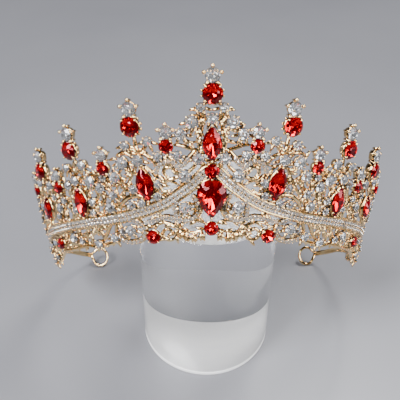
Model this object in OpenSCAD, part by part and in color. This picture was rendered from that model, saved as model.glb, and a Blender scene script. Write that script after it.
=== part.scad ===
// Crown headband leaning on a round display stand, as in the photo.
// The crown is drawn flat, in angle (degrees from the middle) and height (mm up the wall), and
// laid on a slightly flaring ring. +Z is up, the front faces -Y, the stand's foot is on z = 0.

/* [Stand] */
// Diameter of the clear block
stand_d = 60; // [50:1:80]
// Height of the whole stand
stand_h = 83; // [60:1:110]
// Thickness of the white base
white_t = 2; // [1:0.5:6]

/* [Crown ring] */
// Radius of the ring at its lower edge
ring_r = 71.6; // [60:0.2:85]
// Backward lean of the crown
lean = 38.0; // [25:0.1:50]
// Distance of the ring's front point before the middle of the stand
front = 36.2; // [28:0.1:45]
// Height of the ring's front point above the ground
front_h = 67.35; // [50:0.05:90]
// Where the wall lines meet: distance behind the front
apex_back = 98; // [60:1:200]
// Where the wall lines meet: depth under the ring
apex_down = 327; // [150:1:900]

/* [Metal] */
// Thickness of the cast wall
wall_t = 1.1; // [0.8:0.1:2]
// Height of the ridge on a wire above the wall's middle
ridge = 0.95; // [0.5:0.05:2]
// Width of the band of small stones between its rails
pave_w = 3.2; // [2:0.1:5]
// Metal left around a stone
rim = 0.55; // [0.4:0.05:1]
// Width of the plain band at the ends
band_w = 2.6; // [1.5:0.1:6]
// Thickness of the plain band and of its wire loops
band_t = 1.2; // [0.8:0.1:2]
// Length of a wire loop
loop_len = 9.2; // [6:0.2:16]
// Width of a wire loop's round part
loop_w = 9; // [5:0.2:12]
// Height of a wire loop
loop_h = 10.4; // [5:0.2:12]
// How far a wire loop's middle is below the band's tip
loop_drop = 1.1; // [0:0.1:3]

/* [Stones] */
// Clearance between a stone and its setting
seat = 0.12; // [0.1:0.01:0.3]
// Width of the pear
pear_w = 10; // [7:0.5:14]
// Length of the pear
pear_l = 14; // [10:0.5:20]
// Width of a marquise
marquise_w = 6; // [4:0.2:8]
// Length of a marquise
marquise_l = 12.2; // [8:0.2:16]

/* [Hidden] */
gold = [0.86, 0.69, 0.42];
red = [0.72, 0.03, 0.06];
clear = [0.93, 0.95, 0.97];
white = [0.95, 0.95, 0.95];
air = 0.1;
// Sides of a round stone
facets = 8;

// Spires from the middle outwards. Columns: angle, height of the red stone, its diameter,
// height of the clear stone above it, its diameter
spires = [
    [11.2, 55.4, 4.7, 60.5, 4.1],
    [19.8, 62.9, 6.4, 69.2, 4.8],
    [29.2, 47.4, 4.7, 52.5, 4.1],
    [39.6, 54.8, 6.4, 61.1, 4.8],
    [48.1, 39.6, 4.7, 44.7, 4.1],
    [56.4, 46.5, 6.4, 52.8, 4.8],
    [65.4, 38.0, 4.7, 43.1, 4.1]
];
// Middle column, from the top. Columns: height, diameter
middle_clear = [80.4, 4.6];
middle_rounds = [[74.1, 6.4], [46.3, 4.8], [24.2, 4.8]];
middle_marquise = 56.4;
pear_v = 36;
// Side marquises. Columns: angle, height, width, length, outward lean of the upper tip
marquises = [
    [17.3, 41.3, marquise_w, marquise_l, 10],
    [38.8, 33.7, marquise_w - 0.2, marquise_l - 0.6, 6],
    [57.8, 30.1, marquise_w - 0.6, marquise_l - 2.2, -3]
];
// Red rounds on the lower edge. Columns: angle, height, diameter
low_rounds = [[16.2, 20.7, 4.8], [54.6, 14.9, 4.6]];

// Larger clear stones of the openwork. Columns: angle, height, diameter
clears = [
    [4.9, 64.2, 4.2], [7.1, 32.2, 4.0], [18.9, 50.2, 4.0], [23.3, 49.4, 4.4], [28.7, 31.9, 3.8],
    [34.3, 42.4, 4.2], [23.0, 23.0, 3.8], [45.9, 18.3, 3.8]
];
// Bosses under fine clear stones that stand out of the outline. Columns: angle, height, diameter
bosses = [
    [0, 66.6, 4.4], [2.9, 69.2, 4.2], [7.6, 59.8, 4.6], [16.0, 57.2, 4.4], [22.0, 55.8, 4.4],
    [36.4, 48.8, 4.4], [43.0, 47.7, 4.4]
];

// Middle line of the band of small stones. Columns: angle, height
pave_line = [
    [-0.6, 47.6], [2.1, 45.0], [4.9, 41.0], [7.6, 38.2], [11.0, 34.9], [15.1, 32.1], [22.5, 29.0],
    [30.1, 26.7], [39.1, 25.0], [49.3, 22.8], [58.2, 20.7], [66.0, 18.4], [74.0, 15.2], [82.0, 10.8],
    [90.0, 5.4], [93.6, 2.2]
];
// Lower rail from the big scroll to the end. Columns: angle, height
low_line = [
    [27.2, 18.0], [31.5, 16.4], [36.0, 14.6], [40.0, 15.0], [44.0, 14.0], [50.0, 12.2], [55.0, 11.0],
    [60.0, 6.8], [66.0, 3.8], [73.0, 2.2], [82.0, 1.0], [94.4, 0.4]
];

// Wires of one half. Columns: width, then the points (angle, height) it runs through
wires = [
    [1.4, [[1.2, 71.6], [2.6, 67.2], [2.5, 62.2], [3.3, 57.6], [2.9, 53.0], [1.6, 47.8]]],
    [1.2, [[3.2, 61.6], [7.2, 60.6], [6.2, 56.6], [3.4, 57.0]]],
    [1.2, [[2.9, 53.8], [9.6, 55.6]]],
    [1.5, [[3.2, 54.2], [5.8, 50.8], [8.2, 46.6]]],
    [1.2, [[11.2, 53.6], [11.2, 49.4]]],
    [1.6, [[8.0, 44.6], [9.2, 48.8], [11.4, 49.8], [13.6, 48.2], [14.5, 44.0], [14.4, 38.6], [15.0, 33.4]]],
    [1.2, [[3.0, 51.6], [5.0, 46.8], [7.4, 43.0], [11.4, 43.4], [14.4, 45.8]]],
    [1.2, [[7.2, 43.2], [8.8, 38.4]]],
    [1.1, [[18.2, 48.6], [15.6, 46.2], [14.5, 43.4]]],
    [1.2, [[13.2, 48.8], [16.2, 51.4], [18.9, 51.8]]],
    [1.2, [[19.1, 49.4], [21.6, 43.6], [24.4, 37.4], [27.6, 31.6], [28.6, 28.4]]],
    [1.6, [[18.9, 52.0], [19.8, 60.0]]],
    [1.2, [[19.0, 53.2], [16.0, 57.2]]],
    [1.2, [[19.2, 53.6], [22.0, 55.8]]],
    [1.7, [[16.6, 31.8], [18.0, 35.4], [21.2, 36.5], [24.6, 34.4], [26.4, 29.8]]],
    [1.2, [[21.2, 44.4], [23.3, 49.4]]],
    [1.2, [[22.6, 41.4], [25.4, 43.2], [29.2, 46.4]]],
    [1.2, [[25.2, 43.0], [27.0, 37.4], [28.7, 31.9]]],
    [1.3, [[29.3, 45.6], [28.7, 40.6], [27.4, 36.4]]],
    [1.2, [[29.5, 45.6], [31.3, 39.8], [31.2, 33.6], [32.2, 27.6]]],
    [1.2, [[31.0, 41.0], [34.3, 42.4], [40.0, 42.6]]],
    [1.2, [[39.2, 40.4], [36.6, 37.4], [36.0, 33.4], [37.4, 27.0]]],
    [1.2, [[40.2, 40.6], [41.9, 36.8], [42.3, 31.8], [43.4, 25.8]]],
    [1.7, [[39.6, 52.0], [39.6, 41.4]]],
    [1.2, [[39.6, 46.8], [36.4, 48.8]]],
    [1.2, [[39.6, 46.8], [43.0, 47.7]]],
    [1.3, [[40.0, 43.6], [43.6, 41.2], [46.4, 40.4]]],
    [1.3, [[43.6, 41.4], [45.2, 33.6], [44.8, 29.0], [42.6, 29.2]]],
    [1.2, [[48.0, 38.0], [50.2, 32.4], [48.4, 28.0], [48.8, 23.8]]],
    [1.2, [[49.4, 38.8], [52.6, 40.4], [56.0, 44.2]]],
    [1.4, [[56.6, 43.8], [57.4, 34.8]]],
    [1.2, [[57.2, 37.0], [54.8, 33.4], [54.4, 28.4], [55.8, 22.2]]],
    [1.2, [[57.6, 37.0], [60.8, 33.0], [61.3, 27.6], [61.8, 20.8]]],
    [1.2, [[57.4, 40.0], [61.0, 41.2], [63.8, 39.4]]],
    [1.3, [[65.6, 36.0], [67.0, 28.0], [68.2, 18.4]]],
    [1.6, [[67.0, 38.0], [74.2, 29.2], [81.4, 17.6], [89.0, 7.4], [93.4, 2.2]]],
    [1.2, [[67.0, 28.2], [71.6, 26.4], [74.4, 21.4], [74.4, 15.6]]],
    [2.4, [[5.6, 37.0], [3.9, 34.6], [3.5, 31.2], [4.8, 28.0], [7.4, 26.4]]],
    [1.1, [[4.0, 32.8], [7.1, 32.2]]],
    [1.6, [[9.3, 35.2], [10.0, 31.4], [9.2, 27.2]]],
    [1.2, [[1.4, 25.4], [4.0, 26.8], [7.2, 26.2], [9.6, 24.2]]],
    [1.2, [[1.3, 23.8], [5.2, 22.2], [9.6, 24.2], [13.6, 25.6], [17.8, 24.0], [20.2, 25.6]]],
    [1.5, [[6.8, 26.4], [10.4, 28.0], [15.4, 27.2], [18.6, 25.0]]],
    [1.2, [[0.0, 26.6], [0.0, 29.8]]],
    [1.2, [[0.0, 48.4], [0.0, 51.0]]],
    [1.4, [[0.0, 62.6], [0.0, 71.0]]],
    [1.5, [[3.2, 23.2], [1.9, 18.4]]],
    [1.5, [[5.0, 22.6], [4.4, 17.7]]],
    [1.5, [[6.8, 22.8], [7.2, 18.0]]],
    [1.2, [[9.6, 24.2], [9.8, 20.2], [12.0, 18.9], [13.6, 21.2], [11.6, 22.8]]],
    [1.2, [[13.4, 20.6], [15.0, 20.7]]],
    [2.0, [[28.4, 20.0], [25.0, 18.0], [21.0, 18.3], [18.9, 21.6], [19.9, 25.4], [23.4, 27.2],
        [27.2, 26.0]]],
    [1.1, [[19.6, 23.6], [26.4, 22.2], [27.0, 26.0]]],
    [1.3, [[26.4, 26.6], [28.6, 22.6], [28.0, 18.0]]],
    [1.3, [[29.6, 25.8], [32.0, 20.6], [34.6, 15.4]]],
    [1.2, [[33.4, 25.0], [37.4, 20.4], [38.4, 15.0]]],
    [1.2, [[37.6, 24.2], [41.6, 19.2], [41.6, 14.8]]],
    [1.3, [[44.4, 23.2], [43.6, 19.0], [45.2, 14.2]]],
    [1.3, [[44.0, 22.2], [47.2, 21.6], [48.4, 18.0], [48.0, 13.2]]],
    [1.3, [[51.4, 21.8], [50.8, 17.6], [53.0, 15.4]]],
    [1.3, [[56.6, 20.4], [57.4, 17.6], [56.0, 15.6]]],
    [1.3, [[61.2, 19.4], [60.4, 13.6], [62.0, 6.2]]],
    [1.3, [[67.6, 17.6], [68.6, 3.4]]],
    [1.3, [[76.0, 13.4], [77.0, 2.2]]],
    [1.3, [[85.0, 8.6], [85.6, 1.0]]]
];

function unit(p) = p / norm(p);
function apex() = [0, apex_back, -apex_down];
function base(a) = [ring_r * sin(a), ring_r * (1 - cos(a)), 0];
function rule(a) = unit(base(a) - apex());
function along(a) = [cos(a), sin(a), 0];
function outward(a) = unit(cross(along(a), rule(a)));
function wall(q, n = 0) = base(q[0]) + q[1] * rule(q[0]) + n * outward(q[0]);

// Outlines of the cut stones, counted round from the right
function round_outline(d, n) =
    [for (i = [0:n - 1]) let(t = 360 * (i + 0.5) / n) d / 2 * [cos(t), sin(t)]];
function marquise_outline(w, l) =
    [for (t = [0:45:315]) [w / 2 * sign(cos(t)) * pow(cos(t), 2), l / 2 * sin(t)]];
function pear_outline(w, l) = concat(
    [for (t = [0:30:180]) [w / 2 * cos(t), l / 2 - w / 2 + w / 2 * sin(t)]],
    [for (s = [0.35, 0.7]) [-w / 2 * (1 - pow(s, 1.7)), l / 2 - w / 2 - s * (l - w / 2)]],
    [[0, -l / 2]],
    [for (s = [0.7, 0.35]) [w / 2 * (1 - pow(s, 1.7)), l / 2 - w / 2 - s * (l - w / 2)]]);

module lean_back() translate([0, -front, front_h]) rotate([-lean, 0, 0]) children();

// Puts a child on the wall: x along the wall, y up the wall, z outwards
module on_wall(a, v, turn = 0) {
    n = outward(a);
    y = rule(a) * cos(turn) + cross(rule(a), n) * sin(turn);
    x = cross(y, n);
    p = wall([a, v]);
    multmatrix([[x[0], y[0], n[0], p[0]], [x[1], y[1], n[1], p[1]], [x[2], y[2], n[2], p[2]], [0, 0, 0, 1]])
        children();
}

function pavilion(w) = 0.3 * w;
function seat_floor() = 0.35;
function cup_top(w) = seat_floor() + seat + pavilion(w) + 0.3;

// A cut stone: pointed back, thin girdle, sloping facets and a flat table
module cut_stone(o, w) {
    n = len(o);
    p = pavilion(w);
    rows = [[1, p], [1, p + 0.3], [0.56, p + 0.3 + 0.2 * w]];
    translate([0, 0, seat_floor() + seat])
        polyhedron(
            concat([for (r = rows) for (q = o) [q[0] * r[0], q[1] * r[0], r[1]]], [[0, 0, 0]]),
            concat([[for (i = [n - 1:-1:0]) 2 * n + i]], [for (i = [0:n - 1]) [3 * n, i, (i + 1) % n]],
                [for (r = [0:1]) for (i = [0:n - 1])
                    [r * n + i, (r + 1) * n + i, (r + 1) * n + (i + 1) % n, r * n + (i + 1) % n]]));
}

module cup(o, w)
    translate([0, 0, -wall_t / 2 - 0.25]) linear_extrude(cup_top(w) + wall_t / 2 + 0.25)
        offset(delta = seat + rim) polygon(o);
module pocket(o, w)
    translate([0, 0, seat_floor()]) linear_extrude(cup_top(w) + 1)
        offset(delta = seat) polygon(o);

// Every stone with a place of its own. mode: cup, pocket or stone
module setting(a, v, turn, o, w, mode)
    on_wall(a, v, turn) {
        if (mode == "cup") cup(o, w);
        if (mode == "pocket") pocket(o, w);
        if (mode == "stone") cut_stone(o, w);
    }
module round_at(a, v, d, mode) setting(a, v, 0, round_outline(d, facets), d, mode);
module marquise_at(k, side, mode)
    setting(side * marquises[k][0], marquises[k][1], side * marquises[k][4],
        marquise_outline(marquises[k][2], marquises[k][3]), marquises[k][2], mode);
module middle_marquise_at(mode)
    setting(0, middle_marquise, 0, marquise_outline(marquise_w, marquise_l), marquise_w, mode);
module pear_at(mode) setting(0, pear_v, 0, pear_outline(pear_w, pear_l), 0.75 * pear_w, mode);
module spire_red_at(k, side, mode) round_at(side * spires[k][0], spires[k][1], spires[k][2], mode);
module spire_clear_at(k, side, mode) round_at(side * spires[k][0], spires[k][3], spires[k][4], mode);
module low_round_at(k, side, mode)
    round_at(side * low_rounds[k][0], low_rounds[k][1], low_rounds[k][2], mode);

module settings(mode) {
    pear_at(mode);
    middle_marquise_at(mode);
    for (m = middle_rounds) round_at(0, m[0], m[1], mode);
    round_at(0, middle_clear[0], middle_clear[1], mode);
    for (side = [-1, 1]) {
        for (k = [0:len(marquises) - 1]) marquise_at(k, side, mode);
        for (k = [0:len(spires) - 1]) {
            spire_red_at(k, side, mode);
            spire_clear_at(k, side, mode);
        }
        for (k = [0:len(low_rounds) - 1]) low_round_at(k, side, mode);
        for (c = clears) round_at(side * c[0], c[1], c[2], mode);
    }
}

// Faces of a bar drawn as rows of m points, closed at both ends
function bar_faces(rows, m) = concat(
    [[for (i = [0:m - 1]) i]], [[for (i = [m - 1:-1:0]) (rows - 1) * m + i]],
    [for (r = [0:rows - 2]) for (i = [0:m - 1])
        [r * m + i, (r + 1) * m + i, (r + 1) * m + (i + 1) % m, r * m + (i + 1) % m]]);
function heading(p, i) = unit(p[min(i + 1, len(p) - 1)] - p[max(i - 1, 0)]);
// A bar along points p with outward directions n. Columns of section: sideways, outwards
module bar(p, n, section) {
    rows = [for (i = [0:len(p) - 1]) let(c = unit(cross(n[i], heading(p, i))))
        for (s = section) p[i] + s[0] * c + s[1] * n[i]];
    polyhedron(rows, bar_faces(len(p), len(section)));
}
module wall_bar(q, side, section)
    bar([for (s = q) wall([side * s[0], s[1]])], [for (s = q) outward(side * s[0])], section);
function flat(w, lo, hi) = [[-w / 2, lo], [w / 2, lo], [w / 2, hi], [-w / 2, hi]];

// A wire with a flat back and a ridge
module wire(q, w, side) wall_bar(q, side, [[-w / 2, -wall_t / 2], [w / 2, -wall_t / 2], [0, ridge]]);

// The band of small stones, raised above the wires
module pave_band(side) wall_bar(pave_line, side, flat(pave_w + 1, -wall_t / 2 - 0.15, 1.15));

// The plain band runs on from the end of the crown and bends inwards.
// Columns: beyond the ring's side, beyond its middle, height
end_line = [[0.7, -5.4, 4.3], [0.8, 4.4, 4.5], [-1.0, 14.4, 4.1], [-5.1, 22.4, 2.1], [-9.8, 29.4, 0.3]];
function end_point(i, side) = [side * (ring_r + end_line[i][0]), ring_r + end_line[i][1], end_line[i][2]];
module plain_band(side) {
    p = [for (i = [0:len(end_line) - 1]) end_point(i, side)];
    n = [for (i = [0:len(p) - 1]) let(h = heading(p, i)) side * unit([h[1], -h[0], 0])];
    bar(p, n, [[-band_w / 2, -band_t], [band_w / 2, -band_t], [band_w / 2, 0], [-band_w / 2, 0]]);
}
// Outline of a wire loop, inwards and up from the band's tip: pointed there, round at the far end
function loop_line() =
    let(across = (loop_w - band_t) / 2, tall = (loop_h - band_t) / 2, c = loop_len - loop_w / 2)
    concat([[-0.4, 0]], [for (t = [-138:23:138]) [c + across * cos(t), tall * sin(t) - loop_drop]]);
module octahedron(d)
    polyhedron(d / 2 * [[1, 0, 0], [0, 1, 0], [-1, 0, 0], [0, -1, 0], [0, 0, 1], [0, 0, -1]],
        [[0, 4, 1], [1, 4, 2], [2, 4, 3], [3, 4, 0], [1, 5, 0], [2, 5, 1], [3, 5, 2], [0, 5, 3]]);
module wire_loop(side) {
    q = loop_line();
    n = len(q);
    translate(end_point(len(end_line) - 1, side) - [side * band_t / 2, 0, 0])
        for (i = [0:n - 1])
            hull()
                for (s = [q[i], q[(i + 1) % n]])
                    translate([-side * s[0], 0, s[1]]) octahedron(band_t * 1.35);
}

// Frame: all soldered metal, with a pocket for every stone
module frame() color(gold) lean_back() difference() {
    union() {
        settings("cup");
        for (side = [-1, 1]) {
            pave_band(side);
            wall_bar(low_line, side, flat(1.3, -wall_t / 2 - 0.1, 1.05));
            for (s = wires) if (s[1][0][0] > 0 || side > 0) wire(s[1], s[0], side);
            for (b = bosses) if (b[0] > 0 || side > 0)
                on_wall(side * b[0], b[1])
                    translate([0, 0, -wall_t / 2 - 0.2]) cylinder(d = b[2], h = 1.8, $fn = 8);
            plain_band(side);
            wire_loop(side);
        }
    }
    settings("pocket");
}

// Stones of the middle
module red_pear() color(red) lean_back() pear_at("stone");
module red_marquise_middle() color(red) lean_back() middle_marquise_at("stone");
module red_round(k) color(red) lean_back() round_at(0, middle_rounds[k][0], middle_rounds[k][1], "stone");
module red_round_top() red_round(0);
module red_round_upper() red_round(1);
module red_round_lower() red_round(2);
module clear_top() color(clear) lean_back() round_at(0, middle_clear[0], middle_clear[1], "stone");

// Stones of the two halves. Left is -X, right is +X, counted from the middle
module red_marquise(k, side) color(red) lean_back() marquise_at(k, side, "stone");
module red_spire(k, side) color(red) lean_back() spire_red_at(k, side, "stone");
module red_low(k, side) color(red) lean_back() low_round_at(k, side, "stone");
module red_marquise_left_1() red_marquise(0, -1);
module red_marquise_left_2() red_marquise(1, -1);
module red_marquise_left_3() red_marquise(2, -1);
module red_marquise_right_1() red_marquise(0, 1);
module red_marquise_right_2() red_marquise(1, 1);
module red_marquise_right_3() red_marquise(2, 1);
module red_spire_left_1() red_spire(0, -1);
module red_spire_left_2() red_spire(1, -1);
module red_spire_left_3() red_spire(2, -1);
module red_spire_left_4() red_spire(3, -1);
module red_spire_left_5() red_spire(4, -1);
module red_spire_left_6() red_spire(5, -1);
module red_spire_left_7() red_spire(6, -1);
module red_spire_right_1() red_spire(0, 1);
module red_spire_right_2() red_spire(1, 1);
module red_spire_right_3() red_spire(2, 1);
module red_spire_right_4() red_spire(3, 1);
module red_spire_right_5() red_spire(4, 1);
module red_spire_right_6() red_spire(5, 1);
module red_spire_right_7() red_spire(6, 1);
module red_low_left_1() red_low(0, -1);
module red_low_left_2() red_low(1, -1);
module red_low_right_1() red_low(0, 1);
module red_low_right_2() red_low(1, 1);

// The clear stones on the spires, and the larger clear stones of the openwork
module clear_spires() color(clear) lean_back()
    for (side = [-1, 1]) for (k = [0:len(spires) - 1]) spire_clear_at(k, side, "stone");
module clear_field() color(clear) lean_back()
    for (side = [-1, 1]) for (c = clears) round_at(side * c[0], c[1], c[2], "stone");

// Stand: a solid clear block on a thin white base
module stand_block() color(clear) translate([0, 0, white_t + air]) let(h = stand_h - white_t - air)
    rotate_extrude($fn = 96)
        polygon([[0, 0], [stand_d / 2, 0], [stand_d / 2, h - 0.4], [stand_d / 2 - 0.4, h], [0, h]]);
module stand_base() color(white) cylinder(d = stand_d, h = white_t, $fn = 96);

frame();
red_pear();
red_marquise_middle();
red_round_top();
red_round_upper();
red_round_lower();
clear_top();
red_marquise_left_1();
red_marquise_left_2();
red_marquise_left_3();
red_marquise_right_1();
red_marquise_right_2();
red_marquise_right_3();
red_spire_left_1();
red_spire_left_2();
red_spire_left_3();
red_spire_left_4();
red_spire_left_5();
red_spire_left_6();
red_spire_left_7();
red_spire_right_1();
red_spire_right_2();
red_spire_right_3();
red_spire_right_4();
red_spire_right_5();
red_spire_right_6();
red_spire_right_7();
red_low_left_1();
red_low_left_2();
red_low_right_1();
red_low_right_2();
clear_spires();
clear_field();
stand_block();
stand_base();
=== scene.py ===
import math

import bmesh
import bpy
from mathutils import Matrix, Vector


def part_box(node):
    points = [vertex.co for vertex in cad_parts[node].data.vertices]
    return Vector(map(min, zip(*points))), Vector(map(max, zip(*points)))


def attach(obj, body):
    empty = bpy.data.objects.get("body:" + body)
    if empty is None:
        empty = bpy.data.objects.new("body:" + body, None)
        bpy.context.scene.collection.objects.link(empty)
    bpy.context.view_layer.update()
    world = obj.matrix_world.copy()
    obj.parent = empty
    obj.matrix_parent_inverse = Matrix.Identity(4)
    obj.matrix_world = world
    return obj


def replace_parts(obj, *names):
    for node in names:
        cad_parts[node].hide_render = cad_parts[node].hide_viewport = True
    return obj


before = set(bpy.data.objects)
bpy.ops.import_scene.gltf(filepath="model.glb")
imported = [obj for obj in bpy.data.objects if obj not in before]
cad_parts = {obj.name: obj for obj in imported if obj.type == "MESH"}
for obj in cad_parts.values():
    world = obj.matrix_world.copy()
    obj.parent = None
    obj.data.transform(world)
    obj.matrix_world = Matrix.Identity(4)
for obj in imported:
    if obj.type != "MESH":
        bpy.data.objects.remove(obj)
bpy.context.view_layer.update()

# White base of the stand: a thin moulded disc, bonded under the clear block.
# Its rim is softly rounded, and the glossy plastic has the faint waviness of a mould.
STAND_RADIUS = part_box("stand_base")[1].x
BASE_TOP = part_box("stand_base")[1].z
BASE_ROUNDING = 0.0003
BASE_STEPS = 128
BASE_WHITES = ((0.93, 0.93, 0.94, 1), (0.97, 0.97, 0.97, 1))
BASE_RELIEF = 0.00002
# The part of the noise's range that a blend of colours runs over.
COLOUR_SPAN = (0.35, 0.65)


def turned(profile, segments):
    """Turns a line of (radius, height) points once round the Z axis."""
    bm = bmesh.new()
    points = [bm.verts.new((radius, 0, height)) for radius, height in profile]
    edges = [bm.edges.new(pair) for pair in zip(points, points[1:])]
    bmesh.ops.spin(
        bm, geom=points + edges, cent=(0, 0, 0), axis=(0, 0, 1),
        angle=2 * math.pi, steps=segments, use_merge=True,
    )
    bmesh.ops.remove_doubles(bm, verts=bm.verts, dist=1e-6)
    return bm


def rounded_profile(radius, low, high, rounding, steps=4):
    """Half the section of a disc with rounded rims, from its foot's middle to its top's."""
    profile = [(0, low)]
    for centre, start in ((low + rounding, -90), (high - rounding, 0)):
        for step in range(steps + 1):
            turn = math.radians(start + 90 * step / steps)
            profile.append((
                radius - rounding + rounding * math.cos(turn),
                centre + rounding * math.sin(turn),
            ))
    return profile + [(0, high)]


def stored(name, bm):
    """Turns a finished shape into a mesh."""
    mesh = bpy.data.meshes.new(name)
    bm.to_mesh(mesh)
    bm.free()
    return mesh


def added(name, data):
    """Adds an object with this mesh, lamp or lens to the scene."""
    thing = bpy.data.objects.new(name, data)
    bpy.context.scene.collection.objects.link(thing)
    return thing


def make_piece(name, bm, finishes, slot):
    """Makes a finished shape a piece of the object, on its one body."""
    bmesh.ops.recalc_face_normals(bm, faces=bm.faces)
    mesh = stored(name, bm)
    for finish in finishes:
        mesh.materials.append(finish)
    piece = added(name, mesh)
    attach(piece, "root")
    return piece


def make_smooth(bm):
    for face in bm.faces:
        face.smooth = True


def new_finish(name, sockets):
    """A material whose principled shader has these socket values."""
    finish = bpy.data.materials.new(name)
    finish.use_nodes = True
    shader = finish.node_tree.nodes["Principled BSDF"]
    for socket, value in sockets.items():
        shader.inputs[socket].default_value = value
    return finish


def unevenness(finish, scale, detail=3.0):
    """Noise that stays with the piece. Scale is about the number of its lumps in a metre."""
    tree = finish.node_tree
    place = tree.nodes.new("ShaderNodeTexCoord")
    noise = tree.nodes.new("ShaderNodeTexNoise")
    noise.inputs["Scale"].default_value = scale
    noise.inputs["Detail"].default_value = detail
    tree.links.new(place.outputs["Object"], noise.inputs["Vector"])
    return noise.outputs["Fac"]


def vary_colour(finish, noise, colours):
    """Blends the base colour between two, by the noise."""
    tree = finish.node_tree
    ramp = tree.nodes.new("ShaderNodeValToRGB")
    for stop, position, colour in zip(ramp.color_ramp.elements, COLOUR_SPAN, colours):
        stop.position = position
        stop.color = colour
    tree.links.new(noise, ramp.inputs["Fac"])
    tree.links.new(ramp.outputs["Color"], tree.nodes["Principled BSDF"].inputs["Base Color"])


def raise_surface(finish, noise, height, strength=1.0):
    """A fine relief by the noise. Height is in metres."""
    tree = finish.node_tree
    bump = tree.nodes.new("ShaderNodeBump")
    bump.inputs["Strength"].default_value = strength
    bump.inputs["Distance"].default_value = height
    tree.links.new(noise, bump.inputs["Height"])
    tree.links.new(bump.outputs["Normal"], tree.nodes["Principled BSDF"].inputs["Normal"])


white_plastic = new_finish("white_plastic", {"Roughness": 0.25, "Coat Weight": 0.4})
vary_colour(white_plastic, unevenness(white_plastic, 140), BASE_WHITES)
raise_surface(white_plastic, unevenness(white_plastic, 900), BASE_RELIEF)

bm = turned(rounded_profile(STAND_RADIUS, 0, BASE_TOP, BASE_ROUNDING), BASE_STEPS)
make_smooth(bm)
white_disc = make_piece("white_disc", bm, [white_plastic], "white_plastic")
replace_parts(white_disc, "stand_base")

# Clear block of the stand: solid cast acrylic, turned and polished, with eased edges.
# It is bonded to the white base, so it dips a hair into it and shows the white through its side.
BLOCK_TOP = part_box("stand_block")[1].z
BLOCK_EASING = 0.0005
BLOCK_STEPS = 160
BOND_DEPTH = 0.00002
WALL_SLACK = 0.00003
ACRYLIC_TINT = (0.955, 0.96, 0.975, 1)
ACRYLIC_INDEX = 1.49
# The part of the noise's range that a change of roughness runs over.
ROUGHNESS_SPAN = (0.3, 0.7)


def stretched(tree, value, span, low=0.0, high=1.0):
    """Stretches a span of a value's range to run from low to high."""
    change = tree.nodes.new("ShaderNodeMapRange")
    for socket, number in zip(("From Min", "From Max", "To Min", "To Max"), (*span, low, high)):
        change.inputs[socket].default_value = number
    tree.links.new(value, change.inputs["Value"])
    return change.outputs["Result"]


def vary_roughness(finish, noise, low, high):
    """Blends the roughness between two values, by the noise."""
    tree = finish.node_tree
    roughness = stretched(tree, noise, ROUGHNESS_SPAN, low, high)
    tree.links.new(roughness, tree.nodes["Principled BSDF"].inputs["Roughness"])


clear_acrylic = new_finish("clear_acrylic", {
    "Base Color": ACRYLIC_TINT,
    "Transmission Weight": 1.0,
    "IOR": ACRYLIC_INDEX,
})
vary_roughness(clear_acrylic, unevenness(clear_acrylic, 60, 5.0), 0.0, 0.035)

bm = turned(
    rounded_profile(STAND_RADIUS - WALL_SLACK, BASE_TOP - BOND_DEPTH, BLOCK_TOP, BLOCK_EASING),
    BLOCK_STEPS,
)
make_smooth(bm)
clear_block = make_piece("clear_block", bm, [clear_acrylic], "clear_plastic")
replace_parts(clear_block, "stand_block")

# Rails of the crown: the casting's long smooth wires, which its stones and stems hang between.
# Two rails and the flat bed between them carry the band of small stones. One rail runs along the
# lower edge to each end, one comes down from the last spire. All is pale gilt brass, polished.
MM = 0.001
# These and all sizes of the crown below are in mm.
RING_RADIUS = 71.6
LEAN = 38.0
RING_FRONT = -36.2
RING_FRONT_HEIGHT = 67.35
WALL_APEX = Vector((0, 98, -327))
# Points of a line on the wall: angle in degrees from the middle, height in mm up the wall.
BAND_LINE = (
    (-0.6, 47.6), (2.1, 45.0), (4.9, 41.0), (7.6, 38.2), (11.0, 34.9), (15.1, 32.1), (22.5, 29.0),
    (30.1, 26.7), (39.1, 25.0), (49.3, 22.8), (58.2, 20.7), (66.0, 18.4), (74.0, 15.2),
    (82.0, 10.8), (90.0, 5.4), (93.6, 2.2),
)
LOWER_LINE = (
    (27.2, 18.0), (31.5, 16.4), (36.0, 14.6), (40.0, 15.0), (44.0, 14.0), (50.0, 12.2),
    (55.0, 11.0), (60.0, 6.8), (66.0, 3.8), (73.0, 2.2), (82.0, 1.0), (94.4, 0.4),
)
END_LINE = (
    (67.0, 37.4), (70.4, 34.2), (74.2, 29.4), (77.8, 23.4), (81.4, 17.6), (85.2, 12.0), (89.0, 7.2),
    (93.4, 2.2),
)
RAIL_OFFSET = 1.75
# Columns: line, distance from its middle, lift off the wall, steps, width, rise, depth behind.
RAILS = (
    (BAND_LINE, -RAIL_OFFSET, 0.45, 6, 0.9, 0.75, 0.85),
    (BAND_LINE, RAIL_OFFSET, 0.45, 6, 0.9, 0.75, 0.85),
    (BAND_LINE, 0, 0, 6, 4.0, 0.35, 0.55),
    (LOWER_LINE, 0, 0.2, 5, 1.25, 0.85, 0.55),
    (END_LINE, 0, 0.2, 5, 1.4, 0.95, 0.55),
)
HALVES = (-1, 1)
GOLDS = ((0.82, 0.51, 0.20, 1), (0.98, 0.73, 0.38, 1))
# Painted shade in the gilt: the dark gold its base colour turns to where the metal lies deep
# between its neighbours, how far round it looks for them, and the span of openness over which the
# shade fades.
PAINTED_SHADE_GOLD = (0.18, 0.09, 0.03, 1)
PAINTED_SHADE_REACH = 0.0025
PAINTED_SHADE_SPAN = (0.25, 0.85)
# The sockets of a colour mix, by number, because the node uses each name more than once.
MIX_SHARE, MIX_FIRST, MIX_SECOND, MIX_RESULT = 0, 6, 7, 2
GILT_RELIEF = 0.00002

leaned_back = (
    Matrix.Translation((0, RING_FRONT * MM, RING_FRONT_HEIGHT * MM))
    @ Matrix.Rotation(math.radians(-LEAN), 4, "X")
)


def ring_point(angle):
    """A point of the crown's lower ring, in mm before it is leaned back."""
    turn = math.radians(angle)
    return Vector((RING_RADIUS * math.sin(turn), RING_RADIUS * (1 - math.cos(turn)), 0))


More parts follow.
